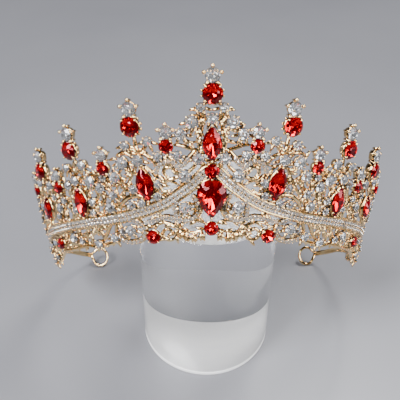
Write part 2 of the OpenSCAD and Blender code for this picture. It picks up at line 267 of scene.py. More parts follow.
def up_wall(angle):
    """The direction up the wall at an angle."""
    return (ring_point(angle) - WALL_APEX).normalized()


def out_of_wall(angle):
    """The direction straight out of the wall's front at an angle."""
    turn = math.radians(angle)
    return Vector((math.cos(turn), math.sin(turn), 0)).cross(up_wall(angle)).normalized()


def wall_spot(angle, height, lift=0.0):
    """A place on the wall, in mm before the crown is leaned back."""
    return ring_point(angle) + height * up_wall(angle) + lift * out_of_wall(angle)


def smooth_line(points, steps):
    """A smooth run through the points, with this many steps between two of them."""
    line = []
    for i in range(len(points) - 1):
        before, here = Vector(points[max(i - 1, 0)]), Vector(points[i])
        there, after = Vector(points[i + 1]), Vector(points[min(i + 2, len(points) - 1)])
        for step in range(steps):
            t = step / steps
            line.append(0.5 * (
                2 * here + (there - before) * t
                + (2 * before - 5 * here + 4 * there - after) * t * t
                + (3 * here - before - 3 * there + after) * t * t * t
            ))
    return line + [Vector(points[-1])]


def wall_run(line, side, shift=0.0, lift=0.0, steps=4):
    """Places, outward directions and sideways directions along a line on one half of the wall."""
    spots = smooth_line(line, steps)
    places = [wall_spot(side * spot.x, spot.y, lift) for spot in spots]
    outs = [out_of_wall(side * spot.x) for spot in spots]
    run = []
    for i, (place, out) in enumerate(zip(places, outs)):
        ahead = places[min(i + 1, len(places) - 1)] - places[max(i - 1, 0)]
        across = out.cross(ahead.normalized())
        run.append((place + side * shift * across, out, across))
    return run


def add_part(bm, part):
    """Adds a small finished shape to the mesh of a piece."""
    mesh = stored("part", part)
    bm.from_mesh(mesh)
    bpy.data.meshes.remove(mesh)


def rod(bm, run, width, rise, back, sides=8, slim=0.0):
    """A cast rod along a run: domed in front, flatter behind, and closed at its tips.
    Slim is the share of its width that it loses towards both ends."""
    count = len(run) - 1
    shell = bmesh.new()
    bmesh.ops.create_uvsphere(shell, u_segments=sides, v_segments=count, radius=1)
    for vert in shell.verts:
        ring = round(math.acos(max(-1.0, min(1.0, -vert.co.z))) / math.pi * count)
        turn = math.atan2(vert.co.y, vert.co.x)
        place, out, across = run[ring]
        full = 0.0 if ring in (0, count) else 1.0 - slim * abs(2 * ring / count - 1) ** 1.5
        height = math.sin(turn) * (rise if math.sin(turn) > 0 else back)
        place = place + across * (math.cos(turn) * width / 2 * full) + out * (height * full)
        vert.co = leaned_back @ (place * MM)
    add_part(bm, shell)


def paint_shade_in_hollows(finish, shade, reach):
    """Paints shade into the base colour: darkens it to a dark gold where the metal lies deep
    between its neighbours.
    """
    tree = finish.node_tree
    base = tree.nodes["Principled BSDF"].inputs["Base Color"]
    openness = tree.nodes.new("ShaderNodeAmbientOcclusion")
    openness.samples = 8
    openness.inputs["Distance"].default_value = reach
    share = stretched(tree, openness.outputs["AO"], PAINTED_SHADE_SPAN)
    blend = tree.nodes.new("ShaderNodeMix")
    blend.data_type = "RGBA"
    blend.inputs[MIX_FIRST].default_value = shade
    tree.links.new(share, blend.inputs[MIX_SHARE])
    tree.links.new(base.links[0].from_socket, blend.inputs[MIX_SECOND])
    tree.links.new(blend.outputs[MIX_RESULT], base)


gilt = new_finish("gilt", {"Metallic": 1.0, "Roughness": 0.14})
vary_colour(gilt, unevenness(gilt, 260), GOLDS)
# Painted shade: the gilt's base colour is darkened where the metal lies deep between its
# neighbours.
paint_shade_in_hollows(gilt, PAINTED_SHADE_GOLD, PAINTED_SHADE_REACH)
vary_roughness(gilt, unevenness(gilt, 900, 4.0), 0.06, 0.17)
raise_surface(gilt, unevenness(gilt, 1500, 2.0), GILT_RELIEF, 0.3)

bm = bmesh.new()
for side in HALVES:
    for line, shift, lift, steps, width, rise, back in RAILS:
        rod(bm, wall_run(line, side, shift, lift, steps), width, rise, back)
make_smooth(bm)
rails = make_piece("rails", bm, [gilt], "gold_metal")
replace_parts(rails, "frame")

# Stems: the openwork between the rails, cast in one piece with them in the same gilt brass.
# They are bent wires, thicker in the middle than at their tips, that branch up to the settings.
# Columns of each row: width in mm, then the points as angle and height.
STEMS = (
    (1.3, (0.9, 71.0), (2.7, 69.2), (2.4, 65.5), (2.6, 61.5), (3.3, 57.5),
     (2.9, 53.4), (3.3, 50.8), (1.6, 47.8)),
    (0.9, (2.4, 66.2), (4.9, 64.2), (4.2, 61.2), (2.5, 61.9)),
    (0.9, (3.4, 61.2), (5.4, 61.6), (7.5, 59.8), (6.2, 56.4), (3.3, 56.9)),
    (1.1, (2.9, 53.8), (5.2, 54.1), (7.6, 55.4), (9.6, 55.6)),
    (1.5, (3.6, 54.4), (5.6, 51.2), (7.4, 48.2), (9.6, 47.4)),
    (1.0, (8.6, 51.9), (10.2, 49.0), (11.2, 49.6), (12.2, 49.0), (13.5, 51.6)),
    (1.0, (11.2, 53.4), (11.2, 49.4)),
    (1.5, (7.8, 46.0), (9.2, 48.8), (11.2, 49.7), (13.4, 48.5), (14.4, 45.4), (14.1, 41.3)),
    (1.2, (9.4, 44.2), (9.9, 46.8), (11.7, 47.2), (12.4, 45.2), (11.2, 43.0)),
    (1.1, (3.3, 50.8), (4.4, 47.6), (6.8, 44.4), (7.6, 41.8), (8.6, 39.2)),
    (1.1, (6.8, 44.4), (9.6, 43.2), (12.0, 42.6), (14.0, 44.6)),
    (1.2, (8.4, 40.4), (11.2, 42.4), (12.8, 40.4), (14.3, 38.9), (14.3, 36.4), (14.8, 33.6)),
    (0.9, (10.6, 39.2), (12.6, 36.8), (14.3, 36.4)),
    (0.9, (17.9, 48.4), (15.9, 46.2), (14.7, 43.4), (14.3, 38.6)),
    (1.2, (13.5, 51.6), (14.2, 48.6), (15.6, 50.8), (17.2, 52.2), (18.9, 52.6)),
    (1.0, (18.9, 50.2), (20.2, 47.2), (21.6, 43.4), (23.3, 39.6),
     (25.7, 35.4), (27.7, 31.6), (28.6, 28.6)),
    (1.3, (18.9, 52.0), (19.3, 55.4), (19.7, 60.0)),
    (1.0, (19.0, 53.2), (17.2, 54.4), (16.0, 57.2)),
    (1.0, (19.1, 53.4), (20.8, 53.6), (22.0, 55.8)),
    (1.5, (16.6, 31.6), (17.6, 35.0), (20.2, 36.5), (23.2, 35.6), (25.3, 33.2), (26.5, 29.8)),
    (0.9, (18.9, 33.7), (20.4, 32.9), (22.0, 32.9), (24.0, 31.4), (24.6, 29.4)),
    (0.9, (20.9, 36.6), (20.9, 39.2), (22.2, 41.9)),
    (1.2, (20.3, 49.8), (21.4, 52.2), (23.4, 53.0), (25.4, 51.6)),
    (1.0, (21.4, 44.2), (22.2, 47.0), (23.3, 49.4), (25.6, 51.2)),
    (1.0, (23.2, 40.0), (24.6, 41.8), (25.9, 44.0), (27.3, 46.4)),
    (1.0, (24.9, 42.0), (26.2, 39.4), (27.2, 36.9), (28.2, 34.2),
     (28.7, 31.9), (30.4, 29.6), (30.6, 27.8)),
    (1.2, (29.1, 45.6), (28.8, 42.0), (28.4, 38.2), (27.2, 36.9)),
    (1.0, (29.4, 45.6), (30.0, 43.6), (31.1, 39.8), (31.4, 35.8),
     (31.0, 32.4), (32.0, 29.6), (32.2, 27.4)),
    (1.2, (31.1, 41.4), (32.6, 44.6), (34.4, 45.2), (36.2, 44.0)),
    (1.0, (34.3, 42.4), (33.4, 38.8), (33.0, 35.8), (34.9, 33.9)),
    (0.9, (31.4, 34.6), (33.4, 32.6), (35.2, 29.6), (35.9, 27.2)),
    (1.0, (39.0, 40.6), (37.0, 38.8), (36.1, 34.8), (36.4, 30.8), (37.2, 26.9)),
    (1.0, (40.3, 40.7), (41.6, 38.0), (42.2, 34.2), (42.6, 30.2), (43.4, 25.6)),
    (1.3, (39.6, 51.8), (39.4, 47.6), (40.0, 44.4)),
    (1.0, (39.4, 47.4), (37.8, 46.8), (36.4, 48.8)),
    (1.0, (39.4, 47.4), (41.4, 46.4), (42.9, 47.7)),
    (1.0, (34.3, 42.4), (37.2, 43.8), (40.2, 42.6), (43.4, 40.6), (45.6, 41.6), (47.2, 41.2)),
    (1.2, (43.4, 40.6), (43.9, 36.8), (45.6, 33.6), (47.2, 34.2), (48.0, 37.6)),
    (1.2, (45.0, 34.6), (45.4, 30.6), (44.6, 27.8), (45.2, 24.6)),
    (1.1, (47.4, 37.6), (50.4, 34.4), (50.0, 31.0), (48.2, 28.0), (48.6, 23.6)),
    (1.0, (49.7, 38.0), (51.6, 38.8), (53.4, 40.4), (55.4, 43.4)),
    (1.0, (53.4, 40.4), (52.6, 35.4), (50.0, 31.0)),
    (1.2, (56.6, 43.6), (57.2, 39.6), (57.4, 35.4)),
    (1.0, (57.0, 40.2), (59.0, 39.8), (61.0, 41.2), (63.6, 40.2)),
    (1.0, (57.2, 36.4), (55.1, 34.0), (54.2, 30.4), (54.8, 26.0), (55.6, 22.0)),
    (1.0, (57.4, 36.4), (60.3, 33.8), (61.3, 30.0), (61.2, 25.4), (61.8, 20.6)),
    (0.9, (54.2, 30.4), (52.0, 27.2), (52.2, 23.0)),
    (1.1, (65.4, 36.0), (63.4, 31.2), (63.6, 26.2), (65.2, 22.4), (65.6, 19.0)),
    (1.1, (65.7, 36.0), (66.8, 31.2), (67.2, 25.4), (68.4, 17.8)),
    (1.0, (67.0, 28.6), (70.0, 27.6), (72.6, 24.8), (74.0, 20.6), (73.6, 15.6)),
    (1.0, (74.2, 29.4), (75.2, 24.8), (77.2, 20.2), (78.4, 13.2)),
    (2.4, (5.4, 37.0), (3.9, 34.6), (3.4, 31.4), (4.5, 28.4), (7.0, 26.8)),
    (1.6, (9.2, 34.9), (9.9, 32.2), (9.6, 29.2), (11.4, 27.2)),
    (0.9, (4.0, 33.6), (7.1, 32.2), (9.8, 31.6)),
    (1.0, (1.4, 25.6), (3.8, 26.8), (7.0, 26.4), (9.6, 24.4)),
    (1.0, (1.2, 24.0), (4.4, 22.2), (7.4, 22.4), (9.6, 24.4), (12.2, 25.8),
     (15.2, 25.4), (17.6, 23.8), (20.0, 26.0)),
    (1.5, (6.6, 26.8), (9.2, 27.6), (12.4, 28.3), (15.2, 27.2), (18.6, 26.0)),
    (1.0, (13.6, 28.0), (15.4, 30.8)),
    (0.9, (0.0, 27.0), (0.0, 29.6)),
    (1.3, (3.3, 23.6), (1.9, 18.4)),
    (1.3, (5.0, 22.8), (4.4, 17.7)),
    (1.3, (6.8, 22.8), (7.2, 18.0)),
    (1.1, (8.6, 23.6), (9.0, 19.4)),
    (1.0, (9.6, 24.4), (9.7, 21.0), (11.2, 18.9), (13.2, 19.4), (13.8, 21.8),
     (12.3, 23.4), (10.9, 22.0), (11.9, 21.0)),
    (1.0, (13.2, 20.4), (15.0, 20.7)),
    (1.9, (28.6, 20.0), (25.4, 18.1), (21.8, 18.0), (19.3, 20.2), (19.0, 23.6),
     (20.8, 26.2), (24.0, 27.2), (27.2, 26.0)),
    (0.9, (20.2, 24.4), (23.0, 23.0), (25.7, 22.2), (27.0, 26.2)),
    (1.1, (26.2, 26.9), (28.2, 23.4), (28.8, 19.5)),
    (1.2, (29.4, 25.8), (31.2, 22.2), (33.0, 18.8), (35.0, 16.6)),
    (1.1, (33.0, 25.2), (35.6, 22.2), (38.4, 18.8), (38.4, 15.2)),
    (1.0, (30.8, 23.0), (33.2, 23.4), (35.2, 20.6)),
    (1.2, (37.2, 24.4), (39.6, 21.8), (42.1, 17.2), (41.6, 15.2)),
    (1.2, (44.2, 23.2), (43.6, 19.4), (44.2, 15.8), (46.4, 14.2)),
    (1.2, (44.0, 22.6), (47.0, 21.9), (48.7, 18.4), (48.2, 13.6)),
    (0.8, (43.8, 18.6), (45.9, 18.3), (48.4, 18.0)),
    (1.1, (51.2, 21.6), (51.0, 17.4), (53.0, 15.4)),
    (1.1, (56.4, 20.4), (57.2, 17.6), (56.0, 15.6)),
    (1.0, (51.2, 14.6), (50.8, 12.4)),
    (1.1, (61.0, 19.4), (60.6, 14.6), (61.6, 11.0), (62.2, 7.6), (62.0, 6.0)),
    (1.0, (56.2, 14.0), (58.6, 12.2), (60.6, 14.6)),
    (1.1, (66.6, 17.6), (66.4, 12.6), (67.6, 9.0), (67.2, 5.2), (66.8, 4.2)),
    (1.0, (71.0, 16.0), (72.5, 9.6), (72.2, 2.8)),
    (1.0, (79.0, 12.2), (78.6, 6.8), (80.0, 1.6)),
    (1.0, (85.6, 8.6), (85.6, 4.0), (86.4, 1.0)),
)
SWELL = 1.45
STEM_RISE = 0.45
STEM_RISE_BY_WIDTH = 0.35
STEM_BACK = 0.5
STEM_SLIM = 0.4

bm = bmesh.new()
for width, *line in STEMS:
    for side in HALVES:
        if line[0][0] == 0 and side < 0:
            continue
        rise = STEM_RISE + STEM_RISE_BY_WIDTH * width
        rod(bm, wall_run(line, side), width * SWELL, rise, STEM_BACK, slim=STEM_SLIM)
make_smooth(bm)
make_piece("stems", bm, [gilt], "gold_metal")

# Leaves: small pointed leaves with a rounded back, cast in one piece with the stems. They stand
# left and right by turns along the finer stems in front and along all stems towards the ends,
# and in fans where stems part.
LEAF_PITCH = 2.6
LEAF_LENGTH = 3.4
LEAF_WIDTH = 1.44
LEAF_THICKNESS = 1.1
LEAF_TAPER = 0.35
LEAF_MIDDLE = 0.45
LEAF_LIFT = 0.35
LEAF_SPLAY = 0.8
FINE_STEM = 1.05
LEAFY_ANGLE = 30
FAN_LIFT = 0.2
# Columns: angle, height, turn of the fan from upright, leaves, spread, length of a leaf.
FANS = (
    (19.0, 52.4, 0, 5, 150, 3.4), (39.6, 45.6, 0, 5, 150, 3.2), (56.9, 39.2, 0, 5, 150, 3.0),
    (65.5, 34.4, 0, 5, 150, 2.8), (11.2, 50.0, 180, 4, 120, 2.8), (29.0, 41.6, 180, 4, 120, 2.8),
    (48.4, 36.6, 180, 4, 110, 2.6), (3.6, 57.0, -60, 4, 110, 2.8), (3.2, 53.2, -70, 3, 80, 2.8),
    (2.7, 68.6, 150, 3, 90, 3.0), (2.6, 65.0, 160, 4, 110, 3.0), (2.9, 61.0, 150, 4, 120, 3.0),
    (8.8, 44.8, -20, 5, 150, 2.8), (11.8, 41.8, 30, 4, 110, 2.8), (21.6, 44.8, 30, 4, 120, 2.8),
    (24.6, 41.2, 0, 4, 120, 2.8), (32.6, 44.4, -30, 4, 120, 2.8), (36.6, 38.0, 60, 4, 120, 2.6),
    (44.0, 39.4, 60, 4, 120, 2.6), (52.4, 37.4, 0, 4, 120, 2.6), (60.2, 36.0, 40, 4, 120, 2.6),
    (2.4, 21.8, 165, 3, 60, 3.4), (5.4, 21.2, 185, 3, 70, 3.4), (8.2, 22.0, 200, 3, 70, 3.0),
    (6.8, 27.0, 20, 4, 120, 2.6), (15.4, 26.8, 0, 5, 130, 2.6), (31.6, 22.6, 20, 4, 120, 2.6),
    (36.0, 21.4, 0, 4, 120, 2.6), (44.0, 22.4, 150, 3, 80, 2.6), (52.2, 18.6, 180, 4, 120, 2.6),
    (70.4, 27.0, -40, 4, 120, 2.6), (61.4, 12.4, 180, 4, 120, 2.4), (66.8, 10.8, 180, 4, 120, 2.4),
    (58.8, 17.6, 180, 5, 150, 3.0), (47.2, 20.4, 180, 4, 120, 2.8), (64.0, 15.4, 180, 5, 150, 3.0),
    (69.6, 13.0, 180, 5, 150, 2.8), (75.6, 10.4, 180, 5, 150, 2.8), (82.0, 7.2, 180, 4, 120, 2.6),
    (48.6, 18.0, 180, 5, 150, 2.8), (51.2, 15.4, 180, 4, 120, 2.8), (46.4, 14.6, 0, 4, 120, 2.6),
    (54.2, 19.6, 180, 4, 120, 2.8), (58.6, 11.8, 0, 4, 120, 2.6), (51.6, 19.6, 150, 4, 120, 2.8),
    (39.6, 20.4, 180, 5, 150, 2.8), (33.6, 21.6, 160, 4, 120, 2.8),
)


def spaced(run, pitch):
    """Places at an even pitch along a run, with their outward, sideways and forward directions."""
    travelled, due, found = 0.0, pitch / 2, []
    for (a, out, across), (b, _, _) in zip(run, run[1:]):
        step = (b - a).length
        while step > 0 and due <= travelled + step:
            found.append((a.lerp(b, (due - travelled) / step), out, across, (b - a).normalized()))
            due += pitch
        travelled += step
    return found


def set_axes(place, x, y, z):
    """The matrix that sets a shape drawn in mm at a place, with these three directions."""
    turn = Matrix((x, y, z)).transposed().to_4x4()
    return leaned_back @ Matrix.Scale(MM, 4) @ Matrix.Translation(place) @ turn


def set_copy(bm, mesh, matrix):
    """Adds a copy of a small mesh to a piece, set in place."""
    copy = mesh.copy()
    copy.transform(matrix)
    bm.from_mesh(copy)
    bpy.data.meshes.remove(copy)


def turned_up(out, up, degrees):
    """The direction up the wall, turned round the outward one."""
    swing = math.radians(degrees)
    return up * math.cos(swing) + up.cross(out) * math.sin(swing)


leaf_bm = bmesh.new()
bmesh.ops.create_uvsphere(
    leaf_bm, u_segments=6, v_segments=5, radius=1,
    matrix=Matrix.Diagonal((LEAF_WIDTH / 2, LEAF_THICKNESS / 2, LEAF_LENGTH / 2, 1)),
)
for vert in leaf_bm.verts:
    vert.co.x *= 1 - LEAF_TAPER * vert.co.z / (LEAF_LENGTH / 2)
leaf = stored("leaf", leaf_bm)


def set_leaf(bm, root, out, along, length):
    """Sets a leaf with its foot at a place, so that it points along."""
    middle = root + along * length * LEAF_MIDDLE + out * LEAF_LIFT
    where = set_axes(middle, out.cross(along), out, along)
    set_copy(bm, leaf, where @ Matrix.Scale(length / LEAF_LENGTH, 4))


bm = bmesh.new()
for width, *line in STEMS:
    if width > FINE_STEM and line[0][0] < LEAFY_ANGLE:
        continue
    for side in HALVES:
        row = spaced(wall_run(line, side), LEAF_PITCH)
        for count, (place, out, across, ahead) in enumerate(row):
            splay = LEAF_SPLAY if count % 2 else -LEAF_SPLAY
            set_leaf(bm, place, out, (ahead + across * splay).normalized(), LEAF_LENGTH)
for angle, height, turn, count, spread, length in FANS:
    for side in HALVES:
        out, up = out_of_wall(side * angle), up_wall(side * angle)
        for step in range(count):
            along = turned_up(out, up, side * (turn + spread * (step / (count - 1) - 0.5)))
            set_leaf(bm, wall_spot(side * angle, height, FAN_LIFT), out, along, length)
make_smooth(bm)
make_piece("leaves", bm, [gilt], "gold_metal")

# Beading: rows of tiny round grains beside the rails. They are part of the casting, in the same
# gilt brass, and catch the light as a bright dotted line.
BEAD_RADIUS = 0.42
BEAD_PITCH = 0.95
BEAD_LIFT = 0.3
# Columns: line, distance from its middle.
BEADED = (
    (BAND_LINE, -RAIL_OFFSET - 0.6),
    (BAND_LINE, RAIL_OFFSET + 0.6),
    (LOWER_LINE, 0.85),
    (END_LINE, -0.95),
)

grain_bm = bmesh.new()
bmesh.ops.create_icosphere(grain_bm, subdivisions=1, radius=1)
grain = stored("grain", grain_bm)


def bead(bm, place, radius):
    """A cast grain. Place is in mm before the crown is leaned back."""
    here = leaned_back @ Matrix.Scale(MM, 4) @ Matrix.Translation(place)
    set_copy(bm, grain, here @ Matrix.Scale(radius, 4))


bm = bmesh.new()
for side in HALVES:
    for line, shift in BEADED:
        for place, *_ in spaced(wall_run(line, side, shift, BEAD_LIFT), BEAD_PITCH):
            bead(bm, place, BEAD_RADIUS)
make_smooth(bm)
make_piece("beading", bm, [gilt], "gold_metal")

# Settings: a cast cup for each stone, a little wider at its rim, soldered into the openwork.
# Claws bent over the girdle hold the stone. Those of the top stones end in balls, like a star,
# and the largest round ones have a ring of grains round their foot. All is gilt brass.
BIG_RED, SPIRE_RED, LOWER_RED = 6.4, 4.7, 4.8
BIG_CLEAR, SPIRE_CLEAR = 4.8, 4.1
# Columns: angle, height and diameter of the red stone, height and diameter of the clear one.
SPIRES = (
    (11.2, 55.4, SPIRE_RED, 60.5, SPIRE_CLEAR),
    (19.8, 62.9, BIG_RED, 69.2, BIG_CLEAR),
    (29.2, 47.4, SPIRE_RED, 52.5, SPIRE_CLEAR),
    (39.6, 54.8, BIG_RED, 61.1, BIG_CLEAR),
    (48.1, 39.6, SPIRE_RED, 44.7, SPIRE_CLEAR),
    (56.4, 46.5, BIG_RED, 52.8, BIG_CLEAR),
    (65.4, 38.0, SPIRE_RED, 43.1, SPIRE_CLEAR),
)
# Columns: height, diameter.
MIDDLE_CLEAR = (80.4, 4.6)
MIDDLE_ROUNDS = ((74.1, BIG_RED), (46.3, LOWER_RED), (24.2, LOWER_RED))
# Width and length. The pear is cut as deep as a round stone of PEAR_CUT.
MARQUISE = (6.0, 12.2)
MIDDLE_MARQUISE = 56.4
PEAR = (10.0, 14.0)
PEAR_CUT = 7.5
PEAR_HEIGHT = 36.0
# Columns: angle, height, width, length, outward lean of the upper tip.
MARQUISES = (
    (17.3, 41.3, 6.0, 12.2, 10),
    (38.8, 33.7, 5.8, 11.6, 6),
    (57.8, 30.1, 5.4, 10.0, -3),
)
# Columns: angle, height, diameter.
LOW_ROUNDS = ((16.2, 20.7, 4.8), (54.6, 14.9, 4.6))
FIELD = (
    (4.9, 64.2, 4.2), (7.1, 32.2, 4.0), (18.9, 50.2, 4.0), (23.3, 49.4, 4.4), (28.7, 31.9, 3.8),
    (34.3, 42.4, 4.2), (23.0, 23.0, 3.8), (45.9, 18.3, 3.8),
)
FINE = (
    (7.5, 59.8, 3.8), (3.3, 50.8, 3.8), (6.8, 44.4, 4.2), (25.9, 44, 4), (31.1, 39.8, 3.8),
    (36.4, 48.8, 3.8), (40.2, 42.6, 3.8), (43.4, 40.6, 3.8), (53.4, 40.4, 3.8), (61, 41.2, 3.8),
    (50, 31, 3.8), (63.4, 31.2, 3.8), (2.7, 69.2, 3), (8.6, 51.9, 3.2), (13.5, 51.6, 3.2),
    (14, 41.3, 3), (14.3, 36.4, 2.8), (16, 57.2, 3.2), (22, 55.8, 3.2), (20.9, 39.2, 3.2),
    (18.9, 33.7, 3), (22, 32.9, 3), (27.2, 36.9, 3.2), (30, 43.6, 2.8), (42.9, 47.7, 3.2),
    (34.9, 33.9, 3), (35.2, 29.6, 2.8), (47.2, 34.2, 3), (42.6, 30.2, 2.8), (25.7, 22.2, 2.6),
    (28.8, 19.5, 3.2), (35, 16.6, 3.2), (42.1, 17.2, 2.8), (52.6, 35.4, 2.8), (52, 27.2, 2.8),
    (63.6, 26.2, 2.8), (70.2, 33.4, 3.2), (70, 27.6, 2.8), (74, 29.3, 3.2), (77.6, 23.4, 3.2),
    (81.2, 17.6, 3.2), (85, 12, 3), (88.8, 7.4, 3), (60.6, 14.6, 3.2), (66.4, 12.6, 3.2),
    (62.2, 7.6, 2.8), (67.2, 5.2, 2.8), (72.5, 9.6, 3), (0, 65.4, 3.6), (91.8, 3.6, 2.8),
)
# The seat is the height of a stone's point over the wall. Shares are of the stone's width.
SEAT = 0.47
BACK_SHARE = 0.3
OVERHANG, OVERHANG_SHARE = 0.1, 0.04
CUP_WALL = 0.2
CUP_EDGE = 0.12
CUP_FOOT = -0.75
CUP_FOOT_SHARE = 0.8
CUP_FLOOR_DROP = 0.25
CUP_RIM_DROP = 0.05
CUP_SIDES, FIELD_CUP_SIDES = 16, 12
# How many go round a stone, and the angle of the first.
CLAWS = (4, 45)
STAR_CLAWS = (5, 90)
GALLERY_SPOTS = (12, 15)
CLAW_RISE_SHARE = 0.36
CLAW_STRETCH = (1.2, 0.85, 1.15)
CLAW, PEAR_CLAW, ROUND_CLAW, POINT_CLAW = 0.45, 0.5175, 0.5625, 0.585
STAR_BALL = 0.75
STAR_REACH = 0.65
STAR_RISE_SHARE = 0.34
ARM_FOOT, ARM_TIP, ARM_LENGTH = 0.4, 0.55, 2.4
ARM_REACH_SHARE = 0.9
ARM_RISE_SHARE = 0.15
GALLERY_BEAD = 0.62
GALLERY_REACH = 0.35
GALLERY_RISE = 0.9


def ring_spots(radius, count, start):
    """Even (x, y) places on a circle. Start is the angle of the first in degrees."""
    return [
        (radius * math.cos(math.radians(start + 360 * i / count)),
         radius * math.sin(math.radians(start + 360 * i / count)))
        for i in range(count)
    ]


def round_outline(diameter, sides):
    """The outline of a round stone, with one of its sides to the right."""
    return ring_spots(diameter / 2, sides, 180 / sides)


def marquise_outline(width, length, sides=24):
    """The outline of a stone that is pointed above and below."""
    turns = [2 * math.pi * i / sides for i in range(sides)]
    return [
        (math.copysign(width / 2 * math.cos(t) ** 2, math.cos(t)), length / 2 * math.sin(t))
        for t in turns
    ]


def pear_outline(width, length, bow_steps=12, flank_steps=6, fullness=1.7):
    """Round above and pointed below, counted round from the right."""
    middle = length / 2 - width / 2
    bow = [
        (width / 2 * math.cos(math.pi * i / bow_steps),
         middle + width / 2 * math.sin(math.pi * i / bow_steps))
        for i in range(bow_steps + 1)
    ]
    flank = [
        (-width / 2 * (1 - (i / flank_steps) ** fullness),
         middle - i / flank_steps * (length - width / 2))
        for i in range(1, flank_steps)
    ]
    return bow + flank + [(0, -length / 2)] + [(-x, y) for x, y in reversed(flank)]


def overhang(width):
    """How far the stone's girdle lies out over its seat, all round."""
    return OVERHANG + OVERHANG_SHARE * width


def widened(outline, margin):
    """The outline with every point moved outwards by the margin."""
    moved = []
    for i, (x, y) in enumerate(outline):
        before, after = outline[i - 1], outline[(i + 1) % len(outline)]
        out = Vector((after[1] - before[1], before[0] - after[0])).normalized()
        moved.append((x + out.x * margin, y + out.y * margin))
    return moved


def seat_on_wall(angle, height, turn=0.0):
    """The matrix that sets a shape drawn in mm on the wall: x along it, y up it, z outwards."""
    out = out_of_wall(angle)
    y = turned_up(out, up_wall(angle), turn)
    return set_axes(wall_spot(angle, height), y.cross(out), y, out)


def cup(bm, outline, width, seat):
    """A setting with a sunk floor, drawn round the stone's outline."""
    rim = SEAT + BACK_SHARE * width - CUP_RIM_DROP
    shell = bmesh.new()
    foot = bmesh.ops.create_circle(shell, cap_ends=True, segments=len(outline), radius=1)["verts"]
    for vert, (x, y) in zip(foot, widened(outline, overhang(width) + CUP_EDGE)):
        vert.co = (x * CUP_FOOT_SHARE, y * CUP_FOOT_SHARE, CUP_FOOT)
    lid = bmesh.ops.extrude_face_region(shell, geom=shell.faces[:])["geom"]
    for part in lid:
        if isinstance(part, bmesh.types.BMVert):
            part.co = (part.co.x / CUP_FOOT_SHARE, part.co.y / CUP_FOOT_SHARE, rim)
    floor = [part for part in lid if isinstance(part, bmesh.types.BMFace)]
    bmesh.ops.recalc_face_normals(shell, faces=shell.faces)
    depth = SEAT - CUP_FLOOR_DROP - rim
    bmesh.ops.inset_region(shell, faces=floor, thickness=CUP_WALL, depth=depth)
    bmesh.ops.transform(shell, matrix=seat, verts=shell.verts)
    add_part(bm, shell)


def claws(bm, spots, width, seat, radius):
    """Grains bent over the girdle, at these (x, y) spots of the rim."""
    for x, y in spots:
        lay = (
            Matrix.Translation((x, y, SEAT + CLAW_RISE_SHARE * width))
            @ Matrix.Rotation(math.atan2(y, x), 4, "Z")
            @ Matrix.Diagonal((*(stretch * radius for stretch in CLAW_STRETCH), 1))
        )
        set_copy(bm, grain, seat @ lay)


def girdle(size):
    """The radius of a round stone's girdle."""
    return size / 2 + overhang(size)


ball_bm = bmesh.new()
bmesh.ops.create_icosphere(ball_bm, subdivisions=2, radius=STAR_BALL)
ball = stored("ball", ball_bm)
arm_bm = bmesh.new()
bmesh.ops.create_cone(
    arm_bm, cap_ends=True, segments=8, radius1=ARM_FOOT, radius2=ARM_TIP, depth=ARM_LENGTH,
)
arm = stored("arm", arm_bm)


def star(bm, size, seat):
    """Ball-tipped claws that stand out round a top stone."""
    for x, y in ring_spots(girdle(size) + STAR_REACH, *STAR_CLAWS):
        root = (x * ARM_REACH_SHARE, y * ARM_REACH_SHARE, ARM_RISE_SHARE * size)
        set_copy(bm, ball, seat @ Matrix.Translation((x, y, SEAT + STAR_RISE_SHARE * size)))
        set_copy(bm, arm, seat @ Matrix.Translation(root))


def gallery(bm, size, seat):
    """A ring of grains round the foot of a large setting."""
    for x, y in ring_spots(girdle(size) + GALLERY_REACH, *GALLERY_SPOTS):
        lay = Matrix.Translation((x, y, GALLERY_RISE)) @ Matrix.Scale(GALLERY_BEAD, 4)
        set_copy(bm, grain, seat @ lay)


def round_setting(bm, size, seat, sides, claw):
    """A cup for a round stone, with four claws."""
    cup(bm, round_outline(size, sides), size, seat)
    claws(bm, ring_spots(girdle(size), *CLAWS), size, seat, claw)


def both_halves(rows):
    """Every row of a table on the left and on the right, or once where its angle is 0."""
    return [
        (side * row[0], *row[1:]) for row in rows for side in HALVES if row[0] != 0 or side > 0
    ]


bm = bmesh.new()
red_rounds = [(angle, height, size) for angle, height, size, _, _ in both_halves(SPIRES)]
red_rounds += [(0, height, size) for height, size in MIDDLE_ROUNDS]
for angle, height, size in red_rounds:
    seat = seat_on_wall(angle, height)
    round_setting(bm, size, seat, CUP_SIDES, ROUND_CLAW)
    if size == BIG_RED:
        gallery(bm, size, seat)
tops = [(angle, height, size) for angle, _, _, height, size in both_halves(SPIRES)]
for angle, height, size in [*tops, (0, *MIDDLE_CLEAR)]:
    seat = seat_on_wall(angle, height)
    cup(bm, round_outline(size, CUP_SIDES), size, seat)
    star(bm, size, seat)
long_reds = [(0, MIDDLE_MARQUISE, *MARQUISE, 0), *both_halves(MARQUISES)]
for angle, height, width, length, tilt in long_reds:
    seat = seat_on_wall(angle, height, math.copysign(1, angle) * tilt)
    outline = marquise_outline(width, length)
    cup(bm, outline, width, seat)
    edge = widened(outline, overhang(width))
    claws(bm, edge[6::12], width, seat, POINT_CLAW)
    claws(bm, edge[3::6], width, seat, CLAW)
seat = seat_on_wall(0, PEAR_HEIGHT)
outline = pear_outline(*PEAR)
cup(bm, outline, PEAR_CUT, seat)
claws(bm, widened(outline, overhang(PEAR_CUT))[2::4], PEAR_CUT, seat, PEAR_CLAW)
for angle, height, size in both_halves(LOW_ROUNDS + FIELD + FINE):
    round_setting(bm, size, seat_on_wall(angle, height), FIELD_CUP_SIDES, CLAW)
make_smooth(bm)
make_piece("settings", bm, [gilt], "gold_metal")

# Sprays: four pointed leaves spread under each clear stone of the openwork, like a flower's.
# They are cast with the openwork and stand a little off its face.
SPRAY_LEAVES = 4
SPRAY_SPREAD = 150
SPRAY_LENGTH = 3.3
SPRAY_LIFT = 0.1
SPRAY_FOOT_SHARE = 0.42

